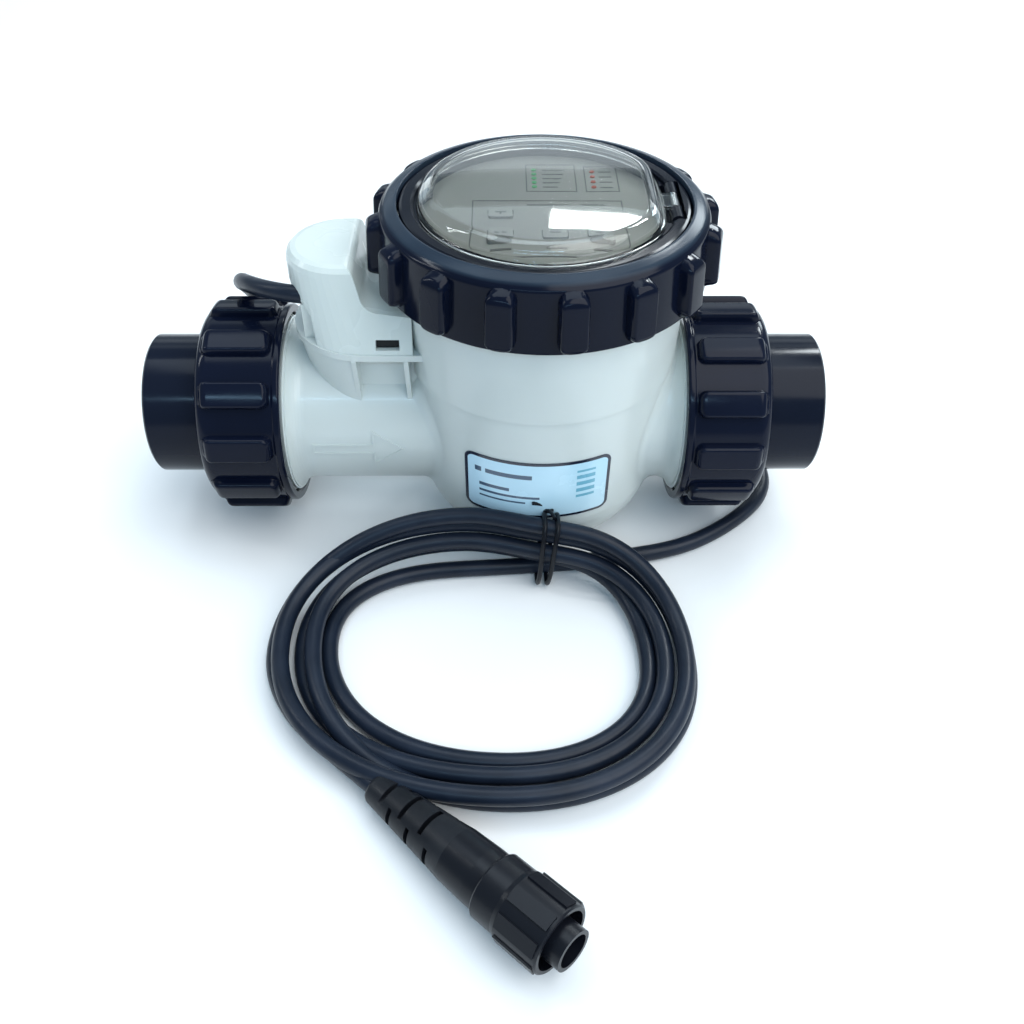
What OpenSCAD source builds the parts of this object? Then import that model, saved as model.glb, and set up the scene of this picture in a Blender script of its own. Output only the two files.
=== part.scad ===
// Salt chlorine generator with two union couplings, a threaded lock ring,
// a lift-out electrode head with a hinged clear cover, a flow and temperature
// sensor tower, and a coiled supply cord with a screw-on connector.
// Origin: centre of the flat vessel bottom. X runs along the pipe from inlet
// to outlet, Y away from the front face, Z up.

/* [Pipe] */
// Outside radius of each tailpiece
tail_r = 35.5; // [34:0.5:38]
// Radius of the pipe socket, for a nominal two inch pipe
socket_r = 30.2; // [29.5:0.1:31]
// Depth of the pipe socket
socket_depth = 38; // [30:1:38]
// Height of the pipe axis over the base
pipe_z = 62; // [62:1:70]
// Distance from the vessel axis to the inlet union face
inlet_face = 146; // [146:1:160]
// Distance from the vessel axis to the outlet union face
outlet_face = 90; // [90:1:110]

/* [Vessel] */
// Radius of the lower body at its narrowest
body_r = 62; // [60:0.5:63]
// Inside radius of the chamber
chamber_r = 58; // [55:0.5:58]
// Height of the vessel rim that the head rests on
rim_z = 160; // [160:1:170]
// Outside radius of the necks
neck_r = 38.8; // [37:0.2:42]

/* [Union nuts] */
// Length of each union nut
nut_len = 42; // [40:0.5:43]
// Outside radius between the lugs
nut_r = 50.5; // [49:0.5:52]
// Outside radius over the lugs
nut_lug_r = 54.8; // [53:0.2:56]
// Number of grip lugs on a union nut
nut_lugs = 12; // [8:1:14]

/* [Lock ring] */
// Outside radius at the bottom edge
ring_r = 77; // [76:0.5:78]
// Outside radius over the lugs
ring_lug_r = 82.5; // [81:0.5:84]
// Number of grip lugs on the lock ring
ring_lugs = 16; // [10:1:18]
// Height of the bottom edge
ring_z = 143.7; // [143:0.1:146]
// Radius of the opening in the top
ring_open_r = 67; // [66.8:0.1:68]

/* [Head] */
// Radius of the clear cover's rim
lens_r = 58.2; // [56:0.2:58.6]
// Height of the clear cover's dome above its rim
lens_rise = 8.6; // [6:0.2:12]
// Number of electrode plates
plate_count = 9; // [5:2:9]
// Spacing between electrode plates
plate_pitch = 7.5; // [6:0.5:8]

/* [Cord] */
// Diameter of the supply cord
cord_d = 8.5; // [6:0.5:9]
// Half width of the coil's outside
coil_outer_x = 102; // [90:1:110]
// Half depth of the coil's outside
coil_outer_y = 75; // [70:1:80]
// Width of the coil's band of strands at the sides
coil_band = 28; // [26:1:34]
// Height of the stacked strands at the front
coil_height = 17; // [17:0.5:20]
// Height of the bundle at the back, where it leans on the vessel
bundle_height = 40; // [34:1:44]

/* [Hidden] */
$fn = 96;
eps = 0.01;
fit_gap = 0.4;
pin_gap = 0.06;

// unions
spigot_r = 46;
spigot_len = 20;
tail_flange_r = 43.5;
tail_flange_len = 4.5;
tail_len = 51;
tail_bore_r = 27;
seal_r = 38;
seal_cord_r = 1.6;
thread_pitch = 5;

// vessel
base_r = 25.3;
corner_r = body_r - base_r;
seam_z = 98.5;
seam_r = 65.6;
upper_r = 67.7;
thread_r = 70.8;
floor_t = 5;

// head
flange_top = 166.5;
slip_t = 2;
bezel_r = 66.2;
bezel_top = 176;
panel_z = 168.2;
panel_r = 56.2;
panel_t = 2;
tub_r = 57.5;
tub_z = 118;
hinge_x = 58.8;
hinge_z = 173.6;
hinge_pin_r = 1.2;
knuckle_r = 3;
lens_rim_z = 174.1;
lens_t = 2;
lens_chord_x = 54;
board_z = 152;
board_t = 1.6;
board_r = 51;

// electrode plates hang below the head
plate_w = 84;
plate_h = 92;
plate_t = 1.2;
plate_top = 114;
tab_h = 4;
stud_x = 14;

// sensor tower on the inlet neck
tower_z = 116;
tower_top = 155;
tower_x = -84;
tower_right = -61;
tower_base_r = 36;
tower_head_x = -94;
tower_head_r = 26.4;
tower_wall = 2.4;
sensor_x = -97;
probe_x = -76;

// cord and connector
cord_r = cord_d / 2;
coil_x = -30.5;
coil_y = -137;
bundle_width = 16;
plug_x = -72.6;
plug_y = -199;
plug_z = 9.8;
plug_angle = -43;
plug_rise = 4.5;
boot_len = 48;
shell_len = 62;
coupling_start = 68;
coupling_len = 34;
sleeve_end = 108;

// Where the cord runs from inside the sensor tower, over and behind the inlet
// nut, along the table behind the vessel and forward under the outlet
lead_route = [
    [-98, -15, 134.5], [-106, -17, 136], [-114, -17.5, 137], [-124, -15, 137],
    [-134, -8, 135], [-142, 1, 132], [-148, 13, 127], [-152, 27, 118],
    [-153, 41, 108], [-152, 54, 94], [-150, 63, 77], [-147, 69, 60],
    [-143, 74, 43], [-137, 77, 28], [-128, 80, 16], [-116, 83, 8.5],
    [-102, 85, 4.9], [-86, 86, 4.3], [-68, 87, 4.3], [-50, 88, 4.3],
    [-32, 88, 4.3], [-14, 88, 4.3], [4, 88, 4.3], [22, 87, 4.3],
    [40, 85, 4.3], [58, 82, 4.3], [75, 77, 4.3], [91, 69, 4.3],
    [105, 59, 4.3], [116, 47, 4.3], [124, 33, 4.3], [129, 18, 4.3],
    [130, 2, 4.3], [125, -11, 4.3], [115, -23, 4.3], [101, -35, 4.3],
    [87, -45, 4.3], [72, -52, 4.3], [55, -56, 4.3], [38, -59, 4.3],
    [22, -61.5, 4.3]
];

// ---------- helpers ----------

// Points on an arc in the plane, from angle a to angle b
function arc(cx, cy, r, a, b, n = 12) =
    [for (i = [0 : n]) [cx + r * cos(a + (b - a) * i / n), cy + r * sin(a + (b - a) * i / n)]];

// Rectangle with rounded corners, centred, made of true arcs
module rounded_rect(w, h, r) {
    square([w - 2 * r, h], center = true);
    square([w, h - 2 * r], center = true);
    for (sx = [-1, 1], sy = [-1, 1])
        translate([sx * (w / 2 - r), sy * (h / 2 - r)]) circle(r, $fn = 32);
}

// Turns a shape that stands along Z so that it points along +X at pipe height
module along_pipe() {
    translate([0, 0, pipe_z]) rotate([0, 90, 0]) children();
}

// Inlet fittings are the outlet ones mirrored onto their own union face
module at_inlet() {
    mirror([1, 0, 0]) translate([inlet_face, 0, 0]) children();
}

module at_outlet() {
    translate([outlet_face, 0, 0]) children();
}

module ring_torus(r, cord) {
    rotate_extrude() translate([r, 0]) circle(cord, $fn = 24);
}

// ---------- vessel ----------

// Outline of the body from the base to the rim, as [radius, height]
function body_outline() = concat(
    [[0, 0]],
    arc(base_r, corner_r, corner_r, -90, 0, 14),
    [[seam_r, seam_z], [seam_r + 1.2, seam_z + 0.3], [upper_r, 122], [upper_r, 145],
     [thread_r - 1.4, 145], [thread_r - 1.4, rim_z], [0, rim_z]]
);

function chamber_outline() = concat(
    [[0, floor_t]],
    arc(base_r - 1, corner_r, corner_r - floor_t + 2, -82, 0, 12),
    [[chamber_r, corner_r + 8], [chamber_r, rim_z + 1], [0, rim_z + 1]]
);

// One neck end, flared out to its threaded spigot, up to the union face
module neck_end(face, reach) {
    flare_r = 10;
    flare_start = face - spigot_len - 9.4;
    along_pipe() {
        cylinder(h = reach, r = neck_r);
        rotate_extrude() polygon(concat(
            [[0, flare_start]],
            arc(neck_r + flare_r, flare_start, flare_r, 180, 110, 8),
            [[0, face - spigot_len]]
        ));
        translate([0, 0, face - spigot_len - 1]) cylinder(h = spigot_len + 1, r = spigot_r - 1.4);
        for (i = [0 : 2])
            translate([0, 0, face - spigot_len + 3 + i * thread_pitch])
                cylinder(h = 2.4, r = spigot_r);
    }
}

// D-shaped outline of the sensor tower: round at the inlet side
module tower_outline(cx, r, right) {
    circle_side = right - cx;
    translate([cx, 0]) circle(r, $fn = 48);
    translate([cx, -r]) square([circle_side, 2 * r]);
}

// Platform under the sensor tower: a conical foot at the inlet side, and a
// shelf towards the body that rests on a narrower block and four gussets
module tower_base() {
    foot_z = 81;
    translate([0, 0, tower_z - 3.2]) linear_extrude(3.2)
        tower_outline(tower_x, tower_base_r + 0.6, -56);
    intersection() {
        translate([tower_x, 0, foot_z]) cylinder(h = tower_z - foot_z - 1, r1 = 30, r2 = tower_base_r);
        translate([-130, -60, 60]) cube([42, 120, 60]);
    }
    translate([-89, -25, foot_z]) cube([37, 50, tower_z - foot_z - 1]);
    for (x = [-89, -64.5], s = [-1, 1])
        translate([x, 0, 0]) rotate([90, 0, 90]) translate([0, 0, -1.1]) linear_extrude(2.2)
            polygon([[s * 20, tower_z - 1], [s * 36.4, tower_z - 1], [s * 36.4, tower_z - 4],
                     [s * 30, 86], [s * 20, 86]]);
}

// Raised outline of an arrow that shows the flow direction
module flow_arrow() {
    shaft = 2.9;
    head = 10.5;
    stroke = 0.9;
    intersection() {
        along_pipe() mirror([0, 0, 1]) translate([0, 0, 60]) cylinder(h = 60, r = neck_r + 0.5);
        translate([0, -neck_r + 4, pipe_z]) rotate([90, 0, 0]) linear_extrude(6)
            difference() {
                polygon([[-114, -shaft], [-84, -shaft], [-84, -head], [-68, 0],
                         [-84, head], [-84, shaft], [-114, shaft]]);
                polygon([[-114 + stroke, stroke - shaft], [-84 + stroke, stroke - shaft],
                         [-84 + stroke, 2 * stroke - head], [-68 - 1.6 * stroke, 0],
                         [-84 + stroke, head - 2 * stroke], [-84 + stroke, shaft - stroke],
                         [-114 + stroke, shaft - stroke]]);
            }
    }
}

module vessel() {
    color("#dfe5e1") difference() {
        union() {
            rotate_extrude() polygon(body_outline());
            for (i = [0 : 2])
                translate([0, 0, 146.5 + i * thread_pitch]) cylinder(h = 2.4, r = thread_r);
            mirror([1, 0, 0]) neck_end(inlet_face, inlet_face - spigot_len);
            neck_end(outlet_face, outlet_face - spigot_len);
            tower_base();
            flow_arrow();
        }
        rotate_extrude() polygon(chamber_outline());
        translate([-inlet_face - 1, 0, pipe_z]) rotate([0, 90, 0])
            cylinder(h = inlet_face + outlet_face + 2, r = socket_r);
        for (face = [[-inlet_face, 1], [outlet_face, -1]])
            translate([face[0], 0, pipe_z]) rotate([0, face[1] * 90, 0]) translate([0, 0, -eps])
                difference() {
                    cylinder(h = 2 * seal_cord_r + 0.1, r = seal_r + 1.9);
                    translate([0, 0, -1]) cylinder(h = 8, r = seal_r - 1.9);
                }
        translate([sensor_x, 0, pipe_z]) cylinder(h = 80, r = 11.2);
        translate([probe_x, 0, pipe_z]) cylinder(h = 80, r = 4.1);
        for (s = [-1, 1])
            translate([sensor_x, s * 18, tower_z - 9]) cylinder(h = 20, r = 1.5);
    }
}

// Curved name plate on the front of the body
module label_plate() {
    low = 37;
    high = 73.6;
    slope = (seam_r - body_r) / (seam_z - corner_r);
    low_r = body_r + (low - corner_r) * slope;
    high_r = body_r + (high - corner_r) * slope;
    thick = 0.5;
    color("#bcd3e4") intersection() {
        rotate([0, 0, -2 - 90 - 40]) rotate_extrude(angle = 80)
            polygon([[low_r, low], [low_r + thick, low], [high_r + thick, high], [high_r, high]]);
        translate([-2.2, 0, (low + high) / 2]) rotate([90, 0, 0]) linear_extrude(90)
            rounded_rect(71, high - low, 4.5);
    }
}

// ---------- electrodes ----------

// Every second plate, each with a tab that reaches up to its own terminal bar
module plate_set(first, tab_x) {
    start = -(plate_count - 1) / 2;
    for (i = [first : 2 : plate_count - 1])
        translate([0, (start + i) * plate_pitch - plate_t / 2, plate_top - plate_h]) {
            translate([-plate_w / 2, 0, 0]) cube([plate_w, plate_t, plate_h - tab_h]);
            translate([tab_x - 5, 0, 0]) cube([10, plate_t, plate_h]);
        }
}

module anode_plates() {
    color("#4f5052") plate_set(0, -stud_x);
}

module cathode_plates() {
    color("#8b8d90") plate_set(1, stud_x);
}

// Slotted combs that hold the plates apart at their four edges
module plate_spacers() {
    comb_w = 5;
    comb_d = plate_count * plate_pitch + 2;
    color("#e6e6e0") for (x = [-1, 1], z = [plate_top - 15, plate_top - plate_h + 6])
        difference() {
            translate([x * (plate_w / 2) - comb_w / 2, -comb_d / 2, z]) cube([comb_w, comb_d, 6]);
            for (i = [0 : plate_count - 1])
                translate([x * (plate_w / 2) - (x > 0 ? comb_w / 2 + 1 : 0) - (x > 0 ? 0 : eps),
                           (i - (plate_count - 1) / 2) * plate_pitch - plate_t / 2 - 0.05, z - 1])
                    cube([comb_w / 2 + 1 + eps, plate_t + 0.1, 8]);
        }
}

// Titanium studs from the outermost plates up into the head
module terminal_studs() {
    span = (plate_count - 1) / 2 * plate_pitch;
    color("#9b9c9e") for (s = [-1, 1]) {
        translate([s * stud_x, 0, plate_top]) {
            translate([-5, -span - 2, 0]) cube([10, 2 * span + 4, 2]);
            cylinder(h = 24, r = 3);
            translate([0, 0, tub_z + 3 - plate_top]) cylinder(h = 3, r = 6, $fn = 6);
        }
    }
}

// ---------- head ----------

module head_housing() {
    color("#14161c") difference() {
        union() {
            rotate_extrude() polygon([
                [0, tub_z], [tub_r - 1.5, tub_z], [tub_r, tub_z + 1.5], [tub_r, rim_z],
                [70, rim_z], [70, flange_top], [bezel_r, flange_top],
                [bezel_r, bezel_top - 1.4], [bezel_r - 0.5, bezel_top - 0.4],
                [bezel_r - 1.6, bezel_top], [60.8, bezel_top], [59.6, bezel_top - 0.8],
                [59.6, lens_rim_z - 0.2], [panel_r + 0.2, lens_rim_z - 0.2],
                [panel_r + 0.2, panel_z], [54.3, panel_z], [54.3, tub_z + 3], [0, tub_z + 3]
            ]);
            for (a = [45 : 90 : 315])
                rotate([0, 0, a]) translate([46, 0, tub_z + 3]) cylinder(h = board_z - tub_z - 3, r = 3);
        }
        rotate_extrude() polygon([
            [tub_r - 2.2, rim_z - 8], [tub_r + 1, rim_z - 8],
            [tub_r + 1, rim_z - 4], [tub_r - 2.2, rim_z - 4]
        ]);
        translate([lens_chord_x - 0.6, -18.5, 170]) cube([62.4 - lens_chord_x + 0.6, 37, 10]);
        for (s = [-1, 1])
            translate([s * stud_x, 0, tub_z - 1]) cylinder(h = 6, r = 3.05);
        for (a = [45 : 90 : 315])
            rotate([0, 0, a]) translate([46, 0, board_z - 9]) cylinder(h = 10, r = 1);
    }
    color("#14161c") for (s = [-1, 1]) difference() {
        translate([0, s * 12, 0]) union() {
            translate([hinge_x, 5, hinge_z]) rotate([90, 0, 0]) cylinder(h = 10, r = knuckle_r);
            translate([hinge_x - 2.2, -5, 169.5]) cube([4.4, 10, hinge_z - 169.5]);
        }
        translate([hinge_x, 20, hinge_z]) rotate([90, 0, 0]) cylinder(h = 40, r = hinge_pin_r);
    }
}

module head_seal() {
    color("#1b1b1d") translate([0, 0, rim_z - 6]) ring_torus(tub_r - 0.88, 1.3);
}

module circuit_board() {
    color("#1f6b45") difference() {
        translate([0, 0, board_z]) cylinder(h = board_t, r = board_r);
        for (a = [45 : 90 : 315])
            rotate([0, 0, a]) translate([46, 0, board_z - 1]) cylinder(h = 4, r = 1.5);
    }
}

// Relay, capacitors, transformer and tall switches soldered to the board
module board_components() {
    color("#2a2c30") translate([0, 0, board_z + board_t]) {
        translate([-30, 12, 0]) cube([20, 16, 11]);
        translate([3, 18, 0]) cube([16, 22, 10]);
        for (i = [0 : 3]) translate([-22 + 15 * i, 2, 0]) cylinder(h = 10, r = 4.2);
        for (x = button_places()) translate([x[0] - 3, x[1] - 3, 0]) cube([6, 6, 8.5]);
    }
}

module board_screws() {
    color("#a9abb0") for (a = [45 : 90 : 315])
        rotate([0, 0, a]) translate([46, 0, 0]) {
            translate([0, 0, board_z + board_t]) cylinder(h = 1.6, r = 2.6);
            translate([0, 0, board_z - 8]) cylinder(h = 8 + board_t, r = 0.95);
        }
}

function button_places() = [[-20, -5], [-20, -24], [4, -24], [24, -24]];
function output_places() = [for (i = [0 : 4]) [-4, 40 - 4.5 * i]];
function status_places() = [for (i = [0 : 3]) [24, 38 - 5.5 * i]];

button_w = 11;
button_h = 9;
button_travel = 0.8;

module control_panel() {
    color("#a9aaa2") difference() {
        translate([0, 0, panel_z]) cylinder(h = panel_t, r = panel_r);
        translate([lens_chord_x - 1.2, -30, panel_z - 1]) cube([10, 60, panel_t + 2]);
        for (p = button_places())
            translate([p[0], p[1], panel_z - 1]) linear_extrude(panel_t + 2)
                rounded_rect(button_w + 0.6, button_h + 0.6, 1.8);
        for (p = concat(output_places(), status_places()))
            translate([p[0], p[1], panel_z - 1]) cylinder(h = panel_t + 2, r = 1.25, $fn = 32);
    }
}

// Push button: a cap with a retaining skirt under the panel and a short stem
module push_button(place) {
    translate([place[0], place[1], 0]) {
        translate([0, 0, panel_z - 0.2]) linear_extrude(panel_t + 1.2)
            rounded_rect(button_w, button_h, 1.5);
        translate([0, 0, panel_z - 1.4]) linear_extrude(1.3)
            rounded_rect(button_w + 2.4, button_h + 2.4, 2);
        translate([0, 0, board_z + board_t + 8.5 + button_travel + 0.1]) cylinder(h = 4.2, r = 1.6);
    }
}

module power_button() {
    color("#c9cac4") push_button(button_places()[0]);
}

module boost_button() {
    color("#c9cac4") push_button(button_places()[1]);
}

module less_button() {
    color("#c9cac4") push_button(button_places()[2]);
}

module more_button() {
    color("#c9cac4") push_button(button_places()[3]);
}

module light_row(places) {
    low = board_z + board_t;
    for (p = places) translate([p[0], p[1], low])
        cylinder(h = panel_z + panel_t + 0.3 - low, r = 1.2, $fn = 32);
}

module output_lights() {
    color("#3f9d5c") light_row(output_places());
}

module status_lights() {
    color("#b24a35") light_row(status_places());
}

// Outline of the clear cover: a disc cut off straight at the hinge side
module lens_outline(r, chord) {
    intersection() {
        circle(r, $fn = 80);
        translate([-r - 1, -r - 1]) square([r + 1 + chord, 2 * r + 2]);
    }
}

// Shallow crystal-shaped shell: rim, rounded shoulder and a flat-domed top
module lens_dome(inset) {
    r = lens_r - 1.2 - inset;
    chord = lens_chord_x - 3 - inset;
    top = lens_rim_z + lens_t + lens_rise - inset;
    hull() {
        translate([0, 0, lens_rim_z]) linear_extrude(1) lens_outline(r, chord);
        for (i = [0 : 5])
            translate([0, 0, top - 1.4 - 6 * (1 - sin(15 * i + 15)) - eps])
                linear_extrude(eps) lens_outline(r - 6 * (1 - cos(15 * i + 15)), chord - 5 * (1 - cos(15 * i + 15)));
        translate([0, 0, top - eps]) linear_extrude(eps) lens_outline(r - 22, chord - 18);
    }
}

module lens_cover() {
    color([0.85, 0.86, 0.8, 0.45]) difference() {
        union() {
            translate([0, 0, lens_rim_z]) linear_extrude(lens_t) lens_outline(lens_r, lens_chord_x);
            lens_dome(0);
            translate([lens_chord_x - 2, -6.5, lens_rim_z]) cube([hinge_x - lens_chord_x + 2, 13, 2]);
            translate([hinge_x, 6.5, hinge_z]) rotate([90, 0, 0]) cylinder(h = 13, r = knuckle_r);
        }
        translate([0, 0, -eps]) lens_dome(2);
        translate([0, 0, lens_rim_z - 1]) linear_extrude(2) lens_outline(lens_r - 3.2, lens_chord_x - 5);
        translate([hinge_x, 10, hinge_z]) rotate([90, 0, 0]) cylinder(h = 20, r = hinge_pin_r + pin_gap);
    }
}

module hinge_pin() {
    color("#b9bcc2") translate([hinge_x, 17, hinge_z]) rotate([90, 0, 0]) cylinder(h = 34, r = hinge_pin_r);
}

// ---------- lock ring ----------

module lock_ring() {
    ring_top = 177.2;
    bore = thread_r + fit_gap;
    lug_low = ring_z + 2.2;
    lug_high = 173.4;
    color("#12141b") union() {
        rotate_extrude() polygon([
            [bore + 0.8, ring_z], [ring_r - 0.6, ring_z], [ring_r, ring_z + 0.8],
            [75.2, 172.6], [74.3, 174.2], [73.2, 175.1], [ring_open_r + 0.7, ring_top],
            [ring_open_r, ring_top - 0.7], [ring_open_r, flange_top + slip_t],
            [bore, flange_top + slip_t], [bore, ring_z + 0.8]
        ]);
        intersection() {
            rotate_extrude() polygon(concat(
                [[73.4, lug_low - 1]],
                arc(ring_lug_r - 4, lug_low + 3, 4, -90, 0, 8),
                arc(ring_lug_r - 7, lug_high - 5, 6, 0, 90, 8),
                [[73.4, lug_high + 1]]
            ));
            for (i = [0 : ring_lugs - 1])
                rotate([0, 0, -90 - 3.8 + 360 / ring_lugs * (i + 0.5)])
                    translate([73, 0, (lug_low + lug_high) / 2]) rotate([0, 90, 0])
                        linear_extrude(12) rounded_rect(lug_high - lug_low, 13.6, 5.4);
        }
    }
}

module slip_ring() {
    color("#e4e2da") translate([0, 0, flange_top]) difference() {
        cylinder(h = slip_t - 0.05, r = thread_r);
        translate([0, 0, -1]) cylinder(h = slip_t + 2, r = ring_open_r - 0.3);
    }
}

// ---------- unions ----------

// Nut drawn with its union face at zero, reaching back over the spigot
module union_nut(phase) {
    back = -spigot_len + 0.2;
    front = back + nut_len;
    flange_front = tail_flange_len + 0.3;
    along_pipe() union() {
        rotate_extrude() polygon(concat(
            [[spigot_r + fit_gap, back + 0.8], [spigot_r + fit_gap + 0.8, back],
             [nut_r - 0.2, back]],
            arc(nut_r - 0.6, back + 1.2, 1.2, -70, 0, 4),
            [[nut_r + 0.6, back + 3], [nut_r, back + 3.8], [nut_r, front - 6]],
            arc(nut_r - 6, front - 6, 6, 0, 60, 6),
            [[tail_r + 6, front], [tail_r + fit_gap + 0.8, front],
             [tail_r + fit_gap, front - 0.8], [tail_r + fit_gap, flange_front],
             [spigot_r + fit_gap, flange_front]]
        ));
        intersection() {
            rotate_extrude() polygon(concat(
                [[nut_r - 2, back + 4.4]],
                arc(nut_lug_r - 3, back + 7.4, 3, -90, 0, 8),
                arc(nut_lug_r - 4, front - 8, 4, 0, 80, 8),
                [[nut_r - 2, front - 4]]
            ));
            for (i = [0 : nut_lugs - 1])
                rotate([0, 0, 360 / nut_lugs * i - phase])
                    translate([nut_r - 4, 0, (back + front) / 2 + 1]) rotate([0, 90, 0])
                        linear_extrude(12) rounded_rect(nut_len - 7, 14, 4);
        }
    }
}

module union_nut_left() {
    color("#11131a") at_inlet() union_nut(10.5);
}

module union_nut_right() {
    color("#11131a") at_outlet() union_nut(5.4);
}

module tailpiece() {
    along_pipe() rotate_extrude() polygon([
        [tail_bore_r, 0.05], [tail_flange_r, 0.05], [tail_flange_r, tail_flange_len],
        [tail_r, tail_flange_len], [tail_r, tail_len - 1], [tail_r - 1, tail_len],
        [socket_r + 1.2, tail_len], [socket_r, tail_len - 1.2],
        [socket_r, tail_len - socket_depth], [tail_bore_r, tail_len - socket_depth]
    ]);
}

module tailpiece_left() {
    color("#14161d") at_inlet() tailpiece();
}

module tailpiece_right() {
    color("#14161d") at_outlet() tailpiece();
}

module union_seal() {
    along_pipe() translate([0, 0, -seal_cord_r - 0.03]) ring_torus(seal_r, seal_cord_r);
}

module union_seal_left() {
    color("#202022") at_inlet() union_seal();
}

module union_seal_right() {
    color("#202022") at_outlet() union_seal();
}

// ---------- sensor tower ----------

// Side view of the cover as [x, z]: tall at the inlet side, low under the ring
function tower_side(inset) = concat(
    [[-125 + inset, tower_z - 1], [-125 + inset, tower_top - inset]],
    arc(-91.5 - inset, tower_top - 5 - inset, 5, 90, 8, 6),
    arc(-75.5 - inset / 2, 144 - inset, 9, 188, 262, 8),
    [[tower_right - inset, 133.2 - inset], [tower_right - inset, tower_z - 1]]
);

// Solid that the cover's inside and outside are both cut from
module tower_block(inset) {
    intersection() {
        hull() {
            translate([0, 0, tower_z - (inset > 0 ? 1 : 0)]) linear_extrude(0.5)
                tower_outline(tower_x, tower_base_r - inset, tower_right + 1);
            for (s = [0 : 3])
                translate([0, 0, tower_top - inset - 5 + 5 * sin(30 * s) - 0.01]) linear_extrude(0.01)
                    tower_outline(tower_head_x, tower_head_r - inset - 5 * (1 - cos(30 * s)), tower_right + 1);
        }
        translate([0, 60, 0]) rotate([90, 0, 0]) linear_extrude(120) polygon(tower_side(inset));
    }
}

module sensor_cover() {
    color("#dde4de") difference() {
        tower_block(0);
        tower_block(tower_wall);
        translate([-106, 0, tower_z - 4]) rotate([0, -97, 0]) linear_extrude(40) circle(31);
        translate([-78, -45, 118.2]) cube([11, 20, 5]);
        translate([0, 0, tower_z - 1]) cylinder(h = 60, r = upper_r + 0.3);
    }
}

module flow_switch_body() {
    color("#dfe1da") difference() {
        union() {
            translate([sensor_x, 0, tower_z]) cylinder(h = 13, r = 13);
            translate([sensor_x, 0, tower_z]) cylinder(h = 20, r = 8);
            translate([sensor_x - 6, -22, tower_z]) cube([12, 44, 3]);
            translate([sensor_x, 0, pipe_z + 22]) cylinder(h = tower_z - pipe_z - 22, r = 11);
            for (s = [-1, 1])
                translate([sensor_x - 3.5, s * 4.5 - 1.5, pipe_z + 14]) cube([7, 3, 9]);
        }
        translate([sensor_x, 0, tower_z - 12]) difference() {
            cylinder(h = 4, r = 12);
            translate([0, 0, -1]) cylinder(h = 6, r = 8.6);
        }
        translate([sensor_x, 10, pipe_z + 17]) rotate([90, 0, 0]) cylinder(h = 20, r = 1);
        for (s = [-1, 1])
            translate([sensor_x, s * 18, tower_z - 1]) cylinder(h = 6, r = 1.7);
    }
}

module flow_paddle() {
    color("#cfd2cc") difference() {
        union() {
            translate([sensor_x, 2.2, pipe_z + 17]) rotate([90, 0, 0]) cylinder(h = 4.4, r = 3);
            translate([sensor_x - 0.9, -2.2, pipe_z - 2]) cube([1.8, 4.4, 17]);
            translate([sensor_x - 0.9, -9, pipe_z - 16]) cube([1.8, 18, 15]);
        }
        translate([sensor_x, 10, pipe_z + 17]) rotate([90, 0, 0]) cylinder(h = 20, r = 1 + pin_gap);
    }
}

module paddle_pin() {
    color("#9b9c9e") translate([sensor_x, 6, pipe_z + 17]) rotate([90, 0, 0]) cylinder(h = 12, r = 1);
}

module sensor_seal() {
    color("#1b1b1d") translate([sensor_x, 0, tower_z - 10]) ring_torus(9.8, 1.2);
}

module temperature_probe() {
    color("#b4b6ba") translate([probe_x, 0, 0]) {
        translate([0, 0, pipe_z + 10]) cylinder(h = tower_z - pipe_z - 10, r = 3.9);
        translate([0, 0, pipe_z + 10]) sphere(3.9, $fn = 32);
        translate([0, 0, tower_z]) cylinder(h = 5, r = 7, $fn = 6);
    }
}

// Post that carries the cord where it leaves the tower
module cable_post() {
    color("#dfe1da") difference() {
        translate([-113, -21, tower_z]) cube([6, 8, 19]);
        translate([-125, -17.4, 136.6]) rotate([0, 90, 0]) cylinder(h = 40, r = cord_r + 0.2);
    }
}

module sensor_screws() {
    color("#a9abb0") for (s = [-1, 1])
        translate([sensor_x, s * 18, 0]) {
            translate([0, 0, tower_z + 3]) cylinder(h = 2, r = 2.8);
            translate([0, 0, tower_z - 6]) cylinder(h = 9, r = 1.4);
        }
}

// ---------- cord ----------

function unit(v) = v / norm(v);

// Ring of points round a route point, square to the route there
function cord_ring(route, i, sides) =
    let (last = len(route) - 1,
         dir = unit(route[min(i + 1, last)] - route[max(i - 1, 0)]),
         side = unit(cross(dir, abs(dir[2]) > 0.8 ? [0, 1, 0] : [0, 0, 1])),
         up = cross(side, dir))
    [for (k = [0 : sides - 1])
        route[i] + cord_r * (cos(360 * k / sides) * side + sin(360 * k / sides) * up)];

module cord_tube(route, sides = 10) {
    rings = len(route);
    points = [for (i = [0 : rings - 1], p = cord_ring(route, i, sides)) p];
    walls = [for (i = [0 : rings - 2], k = [0 : sides - 1])
        [i * sides + k, (i + 1) * sides + k,
         (i + 1) * sides + (k + 1) % sides, i * sides + (k + 1) % sides]];
    caps = [[for (k = [0 : sides - 1]) k],
            [for (k = [sides - 1 : -1 : 0]) (rings - 1) * sides + k]];
    polyhedron(points, concat(walls, caps));
}

module power_cord_lead() {
    color("#1c212b") cord_tube(lead_route);
}

function oval(rx, ry, n = 48) = [for (i = [0 : n - 1]) [rx * cos(360 * i / n), ry * sin(360 * i / n)]];

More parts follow.
